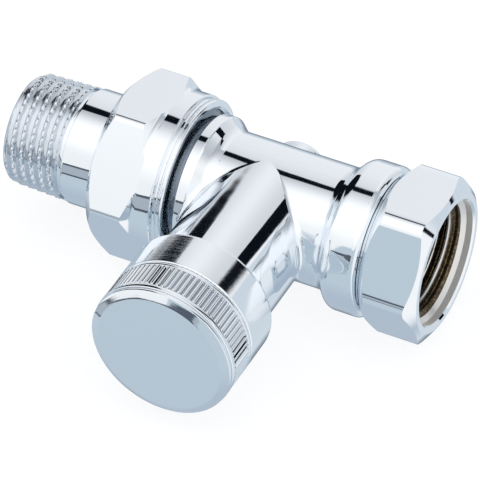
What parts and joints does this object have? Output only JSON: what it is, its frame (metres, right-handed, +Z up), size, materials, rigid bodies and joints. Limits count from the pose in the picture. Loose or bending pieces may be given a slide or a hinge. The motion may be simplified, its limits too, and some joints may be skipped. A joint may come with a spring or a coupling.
{
  "type": "manual radiator valve",
  "caption": "Straight lockshield radiator valve in chrome-plated brass: hexagon pipe socket, tee branch with a knurled screw cap, union nut and male threaded tail.",
  "frame": {"origin": "on the pipe axis where the thread of the inlet socket starts, behind its plain mouth", "axes": "+X along the pipe axis out of the inlet socket, -Y along the branch towards the cap, +Z up"},
  "size_m": [0.0815, 0.0592, 0.0314],
  "materials": {
    "chrome": "polished",
    "brass": "turned",
    "rubber": "matt",
    "steel": "drawn wire"
  },
  "bodies": {
    "valve": {"valve_body": "chrome", "bonnet": "brass", "bonnet_gasket": "rubber", "spindle_o_ring_inner": "rubber", "spindle_o_ring_outer": "rubber"},
    "tail": {"tailpiece": "chrome", "union_o_ring": "rubber"},
    "nut": {"union_nut": "chrome"},
    "disc": {"valve_disc": "brass", "swivel_clip": "steel", "disc_washer": "rubber", "washer_screw": "brass"},
    "spindle": {"spindle": "brass"},
    "gasket": {"cap_gasket": "rubber"},
    "cap": {"cap": "chrome"}
  },
  "joints": [
    {"name": "tail_draw", "type": "slide", "parent": "valve", "child": "tail", "axis": [-1, 0, 0], "range_m": [0, 0.00726]},
    {"name": "nut_turn", "type": "hinge", "parent": "tail", "child": "nut", "pos_m": [-0.0534, 0, 0], "axis": [-1, 0, 0], "range_deg": [0, 1440]},
    {"name": "disc_lift", "type": "slide", "parent": "valve", "child": "disc", "axis": [0, 1, 0], "range_m": [0, 0.0036]},
    {"name": "spindle_turn", "type": "hinge", "parent": "disc", "child": "spindle", "pos_m": [-0.03133, -0.03, 0], "axis": [0, 1, 0], "range_deg": [0, 1296]},
    {"name": "cap_draw", "type": "slide", "parent": "valve", "child": "gasket", "axis": [0, -1, 0], "range_m": [0, 0.006]},
    {"name": "cap_turn", "type": "hinge", "parent": "gasket", "child": "cap", "pos_m": [-0.03133, -0.038, 0], "axis": [0, -1, 0], "range_deg": [0, 1440]}
  ],
  "couplings": [
    {"joint": "nut_turn", "follows": "tail_draw", "rad_per_m": 3463.7},
    {"joint": "spindle_turn", "follows": "disc_lift", "rad_per_m": 6283.2},
    {"joint": "cap_turn", "follows": "cap_draw", "rad_per_m": 4188.8}
  ]
}
